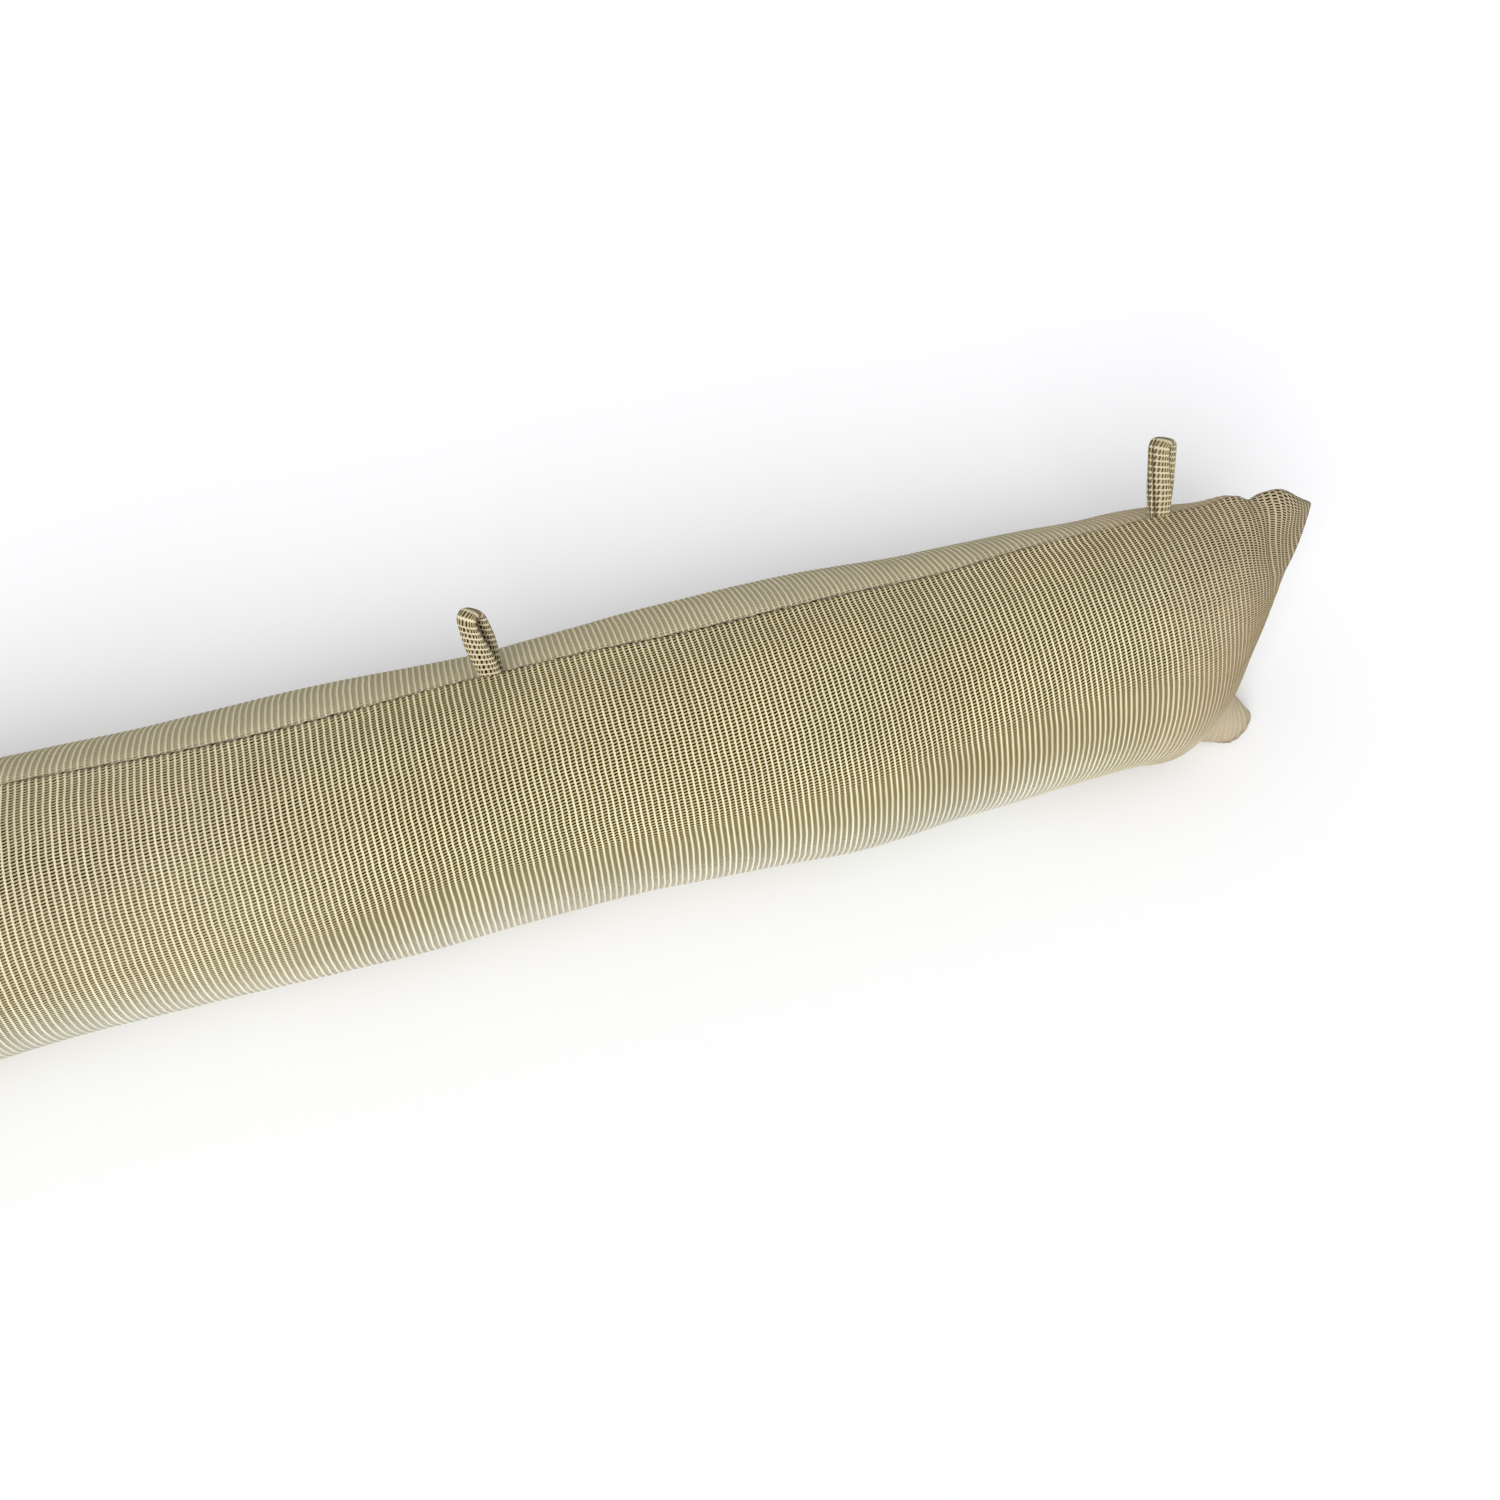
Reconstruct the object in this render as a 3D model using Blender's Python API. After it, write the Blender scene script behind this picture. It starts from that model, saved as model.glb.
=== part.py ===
"""Draught excluder: a filled cloth tube with flat-sewn ends and three strap loops in its long seam.

Metres, +Z up, +X along the tube. It lies on its flattened underside. The origin is under the
middle of the whole, on the surface that it rests on.
"""

import math

import bmesh
import bpy
from mathutils import Matrix, Vector

# The cover, cut flat and folded lengthwise
CUT_LENGTH = 0.810  # from end seam to end seam, along the cloth
CUT_WIDTH = 0.192  # from the long seam to the fold
END_SEAM_THICKNESS = 0.003  # two layers pressed together
END_SEAM_FLATNESS = 0.3  # the lower, the more suddenly it thins at its two tips
SEAM_DEPTH = 0.0022  # how far the long seam draws the cloth in
SEAM_WIDTH = 0.007  # half the width of that groove

# The filled tube on its flattened underside, a row for each section along it.
# x: place; half_width: along Y; height: above the surface; shift: of the section along Y;
# seam: direction of the long seam from the section's middle, in degrees above +Y.
SECTIONS = (
    # x, half_width, height, shift, seam
    (-0.300, 0.0649, 0.1010, -0.0002, 65.0),
    (-0.200, 0.0640, 0.1008, 0.0005, 69.0),
    (-0.150, 0.0640, 0.1010, 0.0004, 72.0),
    (-0.100, 0.0649, 0.1020, 0.0000, 74.0),
    (-0.050, 0.0650, 0.1027, -0.0006, 72.0),
    (0.000, 0.0640, 0.1018, 0.0003, 68.5),
    (0.050, 0.0656, 0.1018, 0.0019, 71.0),
    (0.100, 0.0675, 0.1040, 0.0006, 73.5),
    (0.150, 0.0690, 0.1056, -0.0018, 71.5),
    (0.200, 0.0667, 0.1022, -0.0004, 69.0),
    (0.250, 0.0653, 0.1007, 0.0009, 65.5),
    (0.300, 0.0638, 0.0999, 0.0006, 62.0),
)
BEDDED = 0.075  # share of a section's height that the surface flattens away

# The two ends: the flat seam runs from an ear on the surface in front to one above the crown behind.
# Each ear's tip: reach from the middle along X, then Y and Z.
TOP_EAR = (0.3945, 0.0175, 0.0955)
LOW_EAR = (0.3660, -0.0315, 0.0060)
EAR_REACH = 0.200  # from the middle: the cloth is drawn towards the ears beyond it
END_RADIUS = 0.055
NOTCH = 0.78  # where between the ears the end seam is drawn in furthest, from the top one
NOTCH_DEPTH = 0.021
EAR_FILL = 0.4  # how much sooner than the tube an end fills out beside its ears

# Soft lobes that the fill makes beside the end seams. Sizes are how far one reaches from its middle,
# as a length along the cloth and a share of the way from the long seam to the fold.
LOBES = (
    # from_end, across, end_size, across_size, height
    (0.020, 1.00, 0.032, 0.20, 0.0110),  # the low ear
    (0.050, 0.86, 0.028, 0.09, 0.0040),
    (0.015, 0.00, 0.012, 0.10, 0.0066),  # the top ear
    (0.031, 0.00, 0.006, 0.09, -0.0012),  # the dip beside it
    (0.045, 0.00, 0.014, 0.14, 0.0065),
)
LOBE_START = 0.004  # from the end seam: they fade out within it

# The loops: a folded strap each, both ends in the long seam
STRAP_WIDTH = 0.0102
STRAP_THICKNESS = 0.0032
STRAP_SQUARENESS = 2.5  # of its section: 2 is an oval
LOOP_GAP = 0.0032  # between the legs, at the top
LOOP_FOOT_GAP = 0.0003  # between the legs, where they are sewn in
LOOP_BULGE = 0.0008  # the legs bow out between foot and top
SEWN_GAP = 0.0009  # from the bottom of the seam's groove to a loop's foot
# place: along the seam from its middle; twists: of foot and top about the loop's own line, in
# degrees; lean: of the loop along the seam, in degrees
LOOPS = (
    # name, place, height, foot_twist, top_twist, lean
    ("loop_left", -0.3275, 0.0355, -8.0, -34.0, 3.0),
    ("loop_middle", 0.0022, 0.0353, -14.0, -50.0, -4.0),
    ("loop_right", 0.3275, 0.0395, -22.0, -55.0, 1.5),
)

# Mesh
SHARES_ACROSS = 20  # faces on each panel, from the seam to the fold
END_RINGS = 20  # on each rounded end
RING_EASING = 1.15  # the higher, the closer they are at the end seams
BODY_RINGS = 30
LEG_STEPS = 10
ARCH_STEPS = 8
OUTLINE_POINTS = 12  # round a strap
SHARP_ANGLE = 60.0  # degrees: edges sharper than this keep their crease

CLOTH = {"color": (0.42, 0.35, 0.22), "roughness": 0.92}
STRAP = {"color": (0.45, 0.38, 0.25), "roughness": 0.92}


def clear_scene():
    for old in list(bpy.data.objects):
        bpy.data.objects.remove(old, do_unlink=True)


def cloth_material(name, look):
    material = bpy.data.materials.new(name)
    material.use_nodes = True
    shader = material.node_tree.nodes["Principled BSDF"]
    shader.inputs["Base Color"].default_value = (*look["color"], 1.0)
    shader.inputs["Roughness"].default_value = look["roughness"]
    shader.inputs["Metallic"].default_value = 0.0
    material.diffuse_color = (*look["color"], 1.0)
    return material


def smooth_step(share):
    share = min(max(share, 0.0), 1.0)
    return share * share * (3.0 - 2.0 * share)


def read_row(rows, place, column):
    """The column's value at a place, eased between the rows and held past the first and the last."""
    if place <= rows[0][0]:
        return rows[0][column]
    for low, high in zip(rows, rows[1:]):
        if place <= high[0]:
            share = smooth_step((place - low[0]) / (high[0] - low[0]))
            return low[column] + (high[column] - low[column]) * share
    return rows[-1][column]


def section_angle(x, across, side, fullness):
    """Direction from the section's middle, across from 0 at the seam to 1 at the fold, side 1 in front."""
    from_middle = 2.0 * across - 1.0
    eased = math.copysign(abs(from_middle) ** (1.0 + EAR_FILL * (1.0 - fullness)), from_middle)
    return math.radians(read_row(SECTIONS, x, 4)) + side * math.pi * (1.0 + eased) / 2.0


def round_section(x, angle):
    """(Y, Z) on the filled section."""
    half_width, height, shift = (read_row(SECTIONS, x, column) for column in range(1, 4))
    half_height = height / (2.0 - BEDDED)
    middle = height - half_height
    return shift + half_width * math.cos(angle), middle + half_height * math.sin(angle)


def flat_section(across, side):
    """(Y, Z) on the pressed end seam, which runs straight from the top ear to the low one."""
    along_y, along_z = LOW_EAR[1] - TOP_EAR[1], LOW_EAR[2] - TOP_EAR[2]
    length = math.hypot(along_y, along_z)
    out = side * END_SEAM_THICKNESS / 2.0 * math.sin(math.pi * across) ** END_SEAM_FLATNESS
    return (
        TOP_EAR[1] + along_y * across + along_z / length * out,
        TOP_EAR[2] + along_z * across - along_y / length * out,
    )


def lobe_height(from_end, across):
    height = sum(
        lobe * math.exp(-(((from_end - end) / end_size) ** 2) - ((across - spot) / across_size) ** 2)
        for end, spot, end_size, across_size, lobe in LOBES
    )
    return height * math.sqrt(1.0 - math.exp(-from_end / LOBE_START))


def cover_point(from_middle, across, side):
    """A point of the cover, from its place on the flat cloth.

    from_middle: along the cloth from its middle; across: 0 at the long seam, 1 at the fold.
    """
    end = math.copysign(1.0, from_middle)
    half_length = CUT_LENGTH / 2.0
    from_end = half_length - abs(from_middle)
    reach = TOP_EAR[0] + (LOW_EAR[0] - TOP_EAR[0]) * across
    drawn = smooth_step((abs(from_middle) - EAR_REACH) / (half_length - EAR_REACH))
    edge_x = abs(from_middle) - (half_length - reach) * drawn
    turn = min(from_end / END_RADIUS, math.pi / 2.0)
    fullness = math.sin(turn)
    slack = (math.pi / 2.0 - turn - math.cos(turn)) / (math.pi / 2.0 - 1.0)
    drawn_in = math.sin(math.pi * across ** (math.log(0.5) / math.log(NOTCH)))
    x = end * (edge_x - NOTCH_DEPTH * slack * drawn_in)
    angle = section_angle(end * edge_x, across, side, fullness)
    round_y, round_z = round_section(end * edge_x, angle)
    flat_y, flat_z = flat_section(across, side)
    seam_from = across * CUT_WIDTH / SEAM_WIDTH
    out = lobe_height(from_end, across) - SEAM_DEPTH * fullness * math.exp(-(seam_from ** 2))
    y = flat_y + (round_y - flat_y) * fullness + out * math.cos(angle)
    z = flat_z + (round_z - flat_z) * fullness + out * math.sin(angle)
    return Vector((x, y, max(z, 0.0)))


def ring_places():
    """Places of the rings along the cloth, closer together towards the ends."""
    round_length = END_RADIUS * math.pi / 2.0
    ends = [
        CUT_LENGTH / 2.0 - round_length * (step / END_RINGS) ** RING_EASING
        for step in range(END_RINGS + 1)
    ]
    inner = ends[-1]
    body = [-inner + 2.0 * inner * step / BODY_RINGS for step in range(1, BODY_RINGS)]
    return [-place for place in ends] + body + ends[::-1]


def link_mesh(name, bm, material):
    bmesh.ops.recalc_face_normals(bm, faces=bm.faces)
    mesh = bpy.data.meshes.new(name)
    bm.to_mesh(mesh)
    bm.free()
    mesh.materials.append(material)
    mesh.shade_smooth()
    mesh.set_sharp_from_angle(angle=math.radians(SHARP_ANGLE))
    made = bpy.data.objects.new(name, mesh)
    bpy.context.scene.collection.objects.link(made)
    return made


def cover_ring(bm, place):
    """One ring round the tube: down the front panel from seam to fold, and up the back one."""
    shares = [(1.0 - math.cos(math.pi * step / SHARES_ACROSS)) / 2.0 for step in range(SHARES_ACROSS + 1)]
    front = [cover_point(place, across, 1.0) for across in shares]
    back = [cover_point(place, across, -1.0) for across in shares[-2:0:-1]]
    return [bm.verts.new(point) for point in front + back]


def close_end(bm, ring):
    """The pressed seam's edge: the front panel's points joined to the back one's."""
    count = len(ring)
    for step in range(SHARES_ACROSS):
        corners = (ring[step], ring[step + 1], ring[(count - step - 1) % count], ring[(count - step) % count])
        bm.faces.new(tuple(dict.fromkeys(corners)))


def make_cover(material):
    bm = bmesh.new()
    rings = [cover_ring(bm, place) for place in ring_places()]
    count = len(rings[0])
    for near, far in zip(rings, rings[1:]):
        for step in range(count):
            after = (step + 1) % count
            bm.faces.new((near[step], near[after], far[after], far[step]))
    close_end(bm, rings[0])
    close_end(bm, rings[-1])
    return link_mesh("cover", bm, material)


def seam_frame(place):
    """The long seam's point, its direction and the way out of the cloth there."""
    step = STRAP_WIDTH / 2.0
    here = cover_point(place, 0.0, 1.0)
    along = (cover_point(place + step, 0.0, 1.0) - cover_point(place - step, 0.0, 1.0)).normalized()
    beside = SEAM_WIDTH / CUT_WIDTH
    across = (cover_point(place, beside, 1.0) - cover_point(place, beside, -1.0)).normalized()
    return here, along, across.cross(along).normalized()


def strap_line(loop_height):
    """The folded strap's middle line: (away from the loop's own line, height) up, over and down again."""
    top = (LOOP_GAP + STRAP_THICKNESS) / 2.0
    foot = (LOOP_FOOT_GAP + STRAP_THICKNESS) / 2.0
    shoulder = loop_height - top - STRAP_THICKNESS / 2.0
    leg = []
    for step in range(LEG_STEPS):
        share = step / LEG_STEPS
        bow = LOOP_BULGE * math.sin(math.pi * share)
        leg.append((foot + (top - foot) * smooth_step(share) + bow, shoulder * share))
    arch = [
        (top * math.cos(math.pi * step / ARCH_STEPS), shoulder + top * math.sin(math.pi * step / ARCH_STEPS))
        for step in range(ARCH_STEPS + 1)
    ]
    return leg + arch + [(-away, height) for away, height in reversed(leg)]


def strap_outline():
    """The strap's own section, (along its width, through its thickness), between an oval and an oblong."""
    power = 2.0 / STRAP_SQUARENESS
    outline = []
    for step in range(OUTLINE_POINTS):
        angle = 2.0 * math.pi * step / OUTLINE_POINTS
        wide = math.copysign(abs(math.cos(angle)) ** power, math.cos(angle))
        deep = math.copysign(abs(math.sin(angle)) ** power, math.sin(angle))
        outline.append((wide * STRAP_WIDTH / 2.0, deep * STRAP_THICKNESS / 2.0))
    return outline


def make_loop(name, place, loop_height, foot_twist, top_twist, lean, material):
    foot, along, out = seam_frame(place)
    out = (Matrix.Rotation(math.radians(lean), 3, out.cross(along)) @ out).normalized()
    front = along.cross(out).normalized()
    foot = foot + out * SEWN_GAP
    line = strap_line(loop_height)
    outline = strap_outline()
    bm = bmesh.new()
    rings = []
    for number, (away, height) in enumerate(line):
        before, beyond = line[max(number - 1, 0)], line[min(number + 1, len(line) - 1)]
        run = Vector((beyond[0] - before[0], beyond[1] - before[1])).normalized()
        twist = foot_twist + (top_twist - foot_twist) * smooth_step(height / loop_height)
        turn = Matrix.Rotation(math.radians(twist), 3, out)
        middle = foot + turn @ front * away + out * height
        through = turn @ front * -run.y + out * run.x
        rings.append([bm.verts.new(middle + turn @ along * a + through * b) for a, b in outline])
    for near, far in zip(rings, rings[1:]):
        for step in range(OUTLINE_POINTS):
            after = (step + 1) % OUTLINE_POINTS
            bm.faces.new((near[step], near[after], far[after], far[step]))
    bm.faces.new(rings[0])
    bm.faces.new(rings[-1])
    return link_mesh(name, bm, material)


def centre_over_origin(pieces):
    """Moves the whole so that the middle of its outline stands over the origin."""
    corners = [Vector(corner) for piece in pieces for corner in piece.bound_box]
    middle = [(min(c[axis] for c in corners) + max(c[axis] for c in corners)) / 2.0 for axis in (0, 1)]
    for piece in pieces:
        piece.location = (-middle[0], -middle[1], 0.0)


def main():
    clear_scene()
    pieces = [make_cover(cloth_material("ribbed_cloth", CLOTH))]
    strap_material = cloth_material("strap_cloth", STRAP)
    for name, place, height, foot_twist, top_twist, lean in LOOPS:
        pieces.append(make_loop(name, place, height, foot_twist, top_twist, lean, strap_material))
    centre_over_origin(pieces)


main()
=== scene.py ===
import math

import bmesh
import bpy
import numpy as np
from mathutils import Matrix, Vector, noise


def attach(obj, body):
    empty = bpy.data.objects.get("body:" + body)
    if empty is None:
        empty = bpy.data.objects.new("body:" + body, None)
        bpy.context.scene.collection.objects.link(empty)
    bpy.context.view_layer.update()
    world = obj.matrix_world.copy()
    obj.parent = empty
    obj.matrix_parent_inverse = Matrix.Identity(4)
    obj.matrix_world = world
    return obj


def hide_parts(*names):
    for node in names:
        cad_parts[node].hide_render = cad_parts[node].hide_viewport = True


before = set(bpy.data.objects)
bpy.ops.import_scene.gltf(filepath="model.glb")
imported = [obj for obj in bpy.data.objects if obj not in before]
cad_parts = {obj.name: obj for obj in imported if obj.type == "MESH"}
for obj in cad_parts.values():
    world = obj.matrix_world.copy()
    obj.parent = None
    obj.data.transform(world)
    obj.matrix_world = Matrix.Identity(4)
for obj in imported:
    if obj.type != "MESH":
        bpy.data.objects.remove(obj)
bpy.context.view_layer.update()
print("frame loaded:", ", ".join(sorted(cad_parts)))


def pick(piece):
    bpy.ops.object.select_all(action="DESELECT")
    piece.select_set(True)
    bpy.context.view_layer.objects.active = piece


def turnOutward(piece):  # faces the same way round, and that way out
    pick(piece)
    bpy.ops.object.mode_set(mode="EDIT")
    bpy.ops.mesh.select_all(action="SELECT")
    bpy.ops.mesh.normals_make_consistent(inside=False)
    bpy.ops.object.mode_set(mode="OBJECT")
    form = bmesh.new()
    form.from_mesh(piece.data)
    if form.calc_volume(signed=True) < 0.0:
        piece.data.flip_normals()
    form.free()


def joinEdges(piece, capped=False):  # merges the points that meet, and can close the open ends
    pick(piece)
    bpy.ops.object.mode_set(mode="EDIT")
    bpy.ops.mesh.select_all(action="SELECT")
    bpy.ops.mesh.remove_doubles(threshold=0.00001)
    if capped:
        bpy.ops.mesh.select_all(action="DESELECT")
        bpy.ops.mesh.select_non_manifold()
        bpy.ops.mesh.fill()
    bpy.ops.object.mode_set(mode="OBJECT")
    turnOutward(piece)


def setPoints(holder, points):  # of a mesh's vertices or a shape key
    holder.foreach_set("co", np.array(points, np.float32).ravel())


def smoothStep(share):
    share = np.clip(share, 0.0, 1.0)
    return share * share * (3.0 - 2.0 * share)


def betweenRows(table, column, places):  # which row each place follows, and how far on it lies
    at, values = (np.array([row[k] for row in table]) for k in (0, column))
    places = np.clip(places, at[0], at[-1])
    below = np.clip(np.searchsorted(at, places, side="right") - 1, 0, len(at) - 2)
    return at, values, below, (places - at[below]) / (at[below + 1] - at[below])


def easedRows(table, column, places):  # a table's column, eased between its rows
    _, values, below, t = betweenRows(table, column, places)
    share = smoothStep(t)
    return values[below] * (1.0 - share) + values[below + 1] * share


def smoothRows(table, column, places):  # a table's column on a smooth curve through its rows
    at, values, below, t = betweenRows(table, column, places)
    slope = np.gradient(values, at)
    step = at[below + 1] - at[below]
    return (
        (2 * t**3 - 3 * t**2 + 1) * values[below] + (t**3 - 2 * t**2 + t) * step * slope[below]
        + (3 * t**2 - 2 * t**3) * values[below + 1] + (t**3 - t**2) * step * slope[below + 1]
    )


def splineRows(rows, places):  # a uniform cubic B-spline through the first axis of rows
    first = np.clip(np.floor(places).astype(int), 0, len(rows) - 4)
    t = (places - first)[:, None, None]
    weights = ((1 - t) ** 3, 3 * t**3 - 6 * t**2 + 4, -3 * t**3 + 3 * t**2 + 3 * t + 1, t**3)
    return sum(weight / 6.0 * rows[first + k] for k, weight in enumerate(weights))


def softNoise(points, size, seed):  # from -1 to 1 for each point; a seed moves it to a spot of its own
    shift = Vector((seed * 7.3, seed * 3.1, seed * 5.7))
    return np.array([noise.noise(Vector(p) / size + shift) for p in points])


# The cover. Places along the cloth are from its middle, and shares across it run from the long seam
# (0) to the fold (1), on the front panel as on the back.
cover = {
    "cutLength": 0.810,  # from end seam to end seam
    "cutWidth": 0.192,  # from the long seam to the fold
    "ribs": 288,  # cream ribs over that length
    "rungs": 284,  # rungs once round the tube
    "topEar": (0.3945, 0.0185, 0.1005),  # the right end's, above the crown behind
    "lowEar": (0.3680, -0.030, 0.008),  # on the surface in front
    "earReach": 0.200,  # from the middle: the cloth is drawn towards the ears beyond it
    "earFill": 0.6,
    "notch": 0.7,  # share of the way from the top ear where an end is drawn in furthest
    "notchFill": 0.0115,  # the layers in the end seam hold it out by so much
    "notchFillReach": 0.08,
    "endRadius": 0.060,
    "earTurn": 7.5,  # ribs: the cloth lies askew on the upper ears
    "earTurnBelow": 0.55,  # how much of it is taken up below them
    "earTurnReach": 0.060,
    "earTurnAcross": 0.30,
    "earTurnPower": 2.3,
    "earRungTurn": 1.6,  # rungs for each rib of it
    "earPlain": 1.2,  # ribs of it, from which the cloth is plain there
    "earPlainAcross": (0.38, 0.10),  # share across where they rise again, and over how much
    "cellsAlong": 100,  # for the simulation
    "cellsRound": 48,
    "frames": 40,
    "quickFrames": 6,
    "weight": 0.015,  # share of gravity: the fill carries the rest
    "apart": 0.002,  # the cloth and the surface each keep this much off the other
    "friction": 30.0,
    "ribHeight": 0.00042,
    "stepsPerRib": 4,
    "slideSteps": 2000,
    "seamDepth": 0.0024,
    "seamWidth": 0.0014,
    "seamPull": (0.86, 0.14),  # the thread pulls it in by shares of that depth
    "seamPullPitch": 0.0093,
    "seamPullDrift": (2.0, 41.0),  # how unevenly: turn and waves for each metre
    "lipHeight": 0.0011,  # the front panel rolls over the seam
    "lipPlace": 0.0030,
    "lipSharpness": 1.3,
    "ribShift": 0.45,  # of a rib: the panels are out of step with each other at the seam
    "ribsStart": 0.006,  # from an end seam: ribs, seam and lobes come up over so much
    "seamStart": 0.020,
    "lobeStart": 0.004,
    "lumps": ((0.075, 0.0011, 1), (0.032, 0.00035, 2)),  # the fill's: size, height and seed
    "lumpsFrom": 0.03,  # above the surface
    # Distances from the long seam at which the fine cloth has a row of points
    "seamRows": (0.0, 0.0005, 0.0011, 0.0018, 0.0028, 0.0042, 0.0064, 0.0098),
    "panelRows": 32,  # from there to the fold
    # How the cloth takes its shape on the fill
    "cloth": {
        "quality": 8,
        "mass": 0.3,
        "tension_stiffness": 15.0,
        "compression_stiffness": 2.0,
        "shear_stiffness": 2.0,
        "bending_stiffness": 0.1,
        "tension_damping": 5.0,
        "compression_damping": 5.0,
        "shear_damping": 5.0,
        "bending_damping": 0.5,
        "air_damping": 1.0,
        "use_pressure": True,
        "uniform_pressure_force": 6.0,
    },
    # The filled tube as it starts: place along the cloth, half its width, its height, and where the
    # long seam is, in degrees round from the back
    "sections": (
        (-0.300, 0.0660, 0.1040, 66.0),
        (-0.200, 0.0655, 0.1040, 70.0),
        (-0.100, 0.0660, 0.1040, 75.0),
        (0.000, 0.0655, 0.1040, 69.5),
        (0.100, 0.0680, 0.1050, 74.0),
        (0.200, 0.0680, 0.1050, 70.0),
        (0.300, 0.0655, 0.1050, 62.0),
    ),
    # How unevenly it is filled: place along the tube, its girth beside the mean one, and the shift of
    # its middle across the surface
    "form": (
        (-0.300, 1.002, -0.0003),
        (-0.250, 1.003, -0.0006),
        (-0.200, 0.995, 0.0010),
        (-0.150, 0.989, 0.0005),
        (-0.100, 1.005, 0.0000),
        (-0.050, 1.013, -0.0007),
        (0.000, 0.994, 0.0005),
        (0.050, 0.994, 0.0017),
        (0.100, 1.014, 0.0004),
        (0.150, 1.035, -0.0020),
        (0.200, 0.996, -0.0003),
        (0.250, 0.986, 0.0011),
        (0.300, 0.983, 0.0000),
        (0.350, 1.033, -0.0001),
        (0.400, 0.996, -0.0012),
    ),
    # How far the cloth has slid along on its fill: place and slide. Its ribs are closer in some places.
    "slide": (
        (-0.405, 0.0000),
        (-0.330, -0.0040),
        (-0.260, -0.0068),
        (-0.170, -0.0058),
        (-0.100, -0.0035),
        (-0.050, -0.0021),
        (0.000, 0.0000),
        (0.046, 0.0024),
        (0.098, 0.0059),
        (0.150, 0.0106),
        (0.177, 0.0127),
        (0.205, 0.0136),
        (0.234, 0.0131),
        (0.265, 0.0110),
        (0.298, 0.0079),
        (0.331, 0.0049),
        (0.405, 0.0000),
    ),
    # Soft lobes that the fill makes beside the end seams: distance from the end, share across, how far
    # each reaches in both, and its height
    "lobes": (
        (0.020, 1.00, 0.032, 0.20, 0.0135),  # the low ear
        (0.078, 0.86, 0.018, 0.09, 0.0025),
        (0.046, 0.90, 0.014, 0.17, -0.0036),  # the hollow beside it
        (0.018, 0.00, 0.0138, 0.10, 0.0071),  # the top ear
        (0.0325, 0.00, 0.0045, 0.08, -0.0026),  # the dip beside it
        (0.040, 0.00, 0.009, 0.12, 0.0032),
    ),
    # Soft folds that run down from the long seam beside each ear: panel (front 1, back -1), distance
    # from the end where one starts and ends, share across where it ends, width, depth
    "folds": (
        (1.0, 0.027, 0.019, 0.42, 0.0035, 0.0016),
        (1.0, 0.040, 0.062, 0.30, 0.0050, 0.0008),
        (-1.0, 0.030, 0.024, 0.36, 0.0040, 0.0014),
    ),
    "foldEase": (0.04, 1.6),  # share across over which one starts, and how soon it runs out
}


def foldOver(shares):  # shares round the tube as shares across, and the panel: front 1, back -1
    turn = shares * 2.0
    return np.where(turn <= 1.0, turn, 2.0 - turn), np.where(turn <= 1.0, 1.0, -1.0)


def startForm(place, across, side, look):  # the filled tube before the cloth has settled
    end = np.where(place < 0.0, -1.0, 1.0)
    half = look["cutLength"] / 2.0
    fromEnd = half - np.abs(place)
    top, low = np.array(look["topEar"]), np.array(look["lowEar"])
    reach = top[0] + (low[0] - top[0]) * across
    drawn = smoothStep((np.abs(place) - look["earReach"]) / (half - look["earReach"]))
    edge = np.abs(place) - (half - reach) * drawn
    radius = look["endRadius"]
    turn = np.minimum(fromEnd / radius, math.pi / 2.0)
    fullness = np.sin(turn)
    drawnIn = np.sin(math.pi * across ** (math.log(0.5) / math.log(look["notch"])))
    x = end * (edge - radius * (math.pi / 2.0 - turn - np.cos(turn)) * drawnIn)
    halfWidth, height, seam = (easedRows(look["sections"], k, end * edge) for k in (1, 2, 3))
    fromMiddle = 2.0 * across - 1.0
    eased = np.sign(fromMiddle) * np.abs(fromMiddle) ** (1.0 + look["earFill"] * (1.0 - fullness))
    angle = np.radians(seam) + side * math.pi * (1.0 + eased) / 2.0
    flatY, flatZ = (top[axis] + (low[axis] - top[axis]) * across for axis in (1, 2))
    y = flatY + (halfWidth * np.cos(angle) - flatY) * fullness
    z = flatZ + (height / 2.0 * (1.0 + np.sin(angle)) - flatZ) * fullness
    return np.stack([x, y, np.maximum(z, 0.0)], axis=1)


def uvCorners(mesh):  # each face corner's spot on the UV map, and its vertex
    uv = np.zeros(len(mesh.loops) * 2)
    mesh.uv_layers.active.data.foreach_get("uv", uv)
    owner = np.zeros(len(mesh.loops), int)
    mesh.loops.foreach_get("vertex_index", owner)
    return uv.reshape(-1, 2), owner


def sewnPanel(look):  # one piece of cloth, folded lengthwise and joined at the long seam and both ends
    cells = {"x_subdivisions": look["cellsAlong"], "y_subdivisions": look["cellsRound"]}
    bpy.ops.mesh.primitive_grid_add(size=1.0, **cells)
    panel = bpy.context.object
    panel.name = "cover_cloth"
    shares = np.array([v.co[:2] for v in panel.data.vertices]) + 0.5
    place = (shares[:, 0] - 0.5) * look["cutLength"]
    setPoints(panel.data.vertices, startForm(place, *foldOver(shares[:, 1]), look))
    joinEdges(panel)
    uv, owner = uvCorners(panel.data)
    shares = np.zeros((len(panel.data.vertices), 2))
    shares[owner] = uv
    place = (shares[:, 0] - 0.5) * look["cutLength"]
    across = foldOver(shares[:, 1])[0]
    panel.shape_key_add(name="filled")
    flat = panel.shape_key_add(name="flat")  # as it was cut
    setPoints(flat.data, np.stack([place, 0.0 * place, (1.0 - across) * look["cutWidth"]], axis=1))
    return panel


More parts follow.
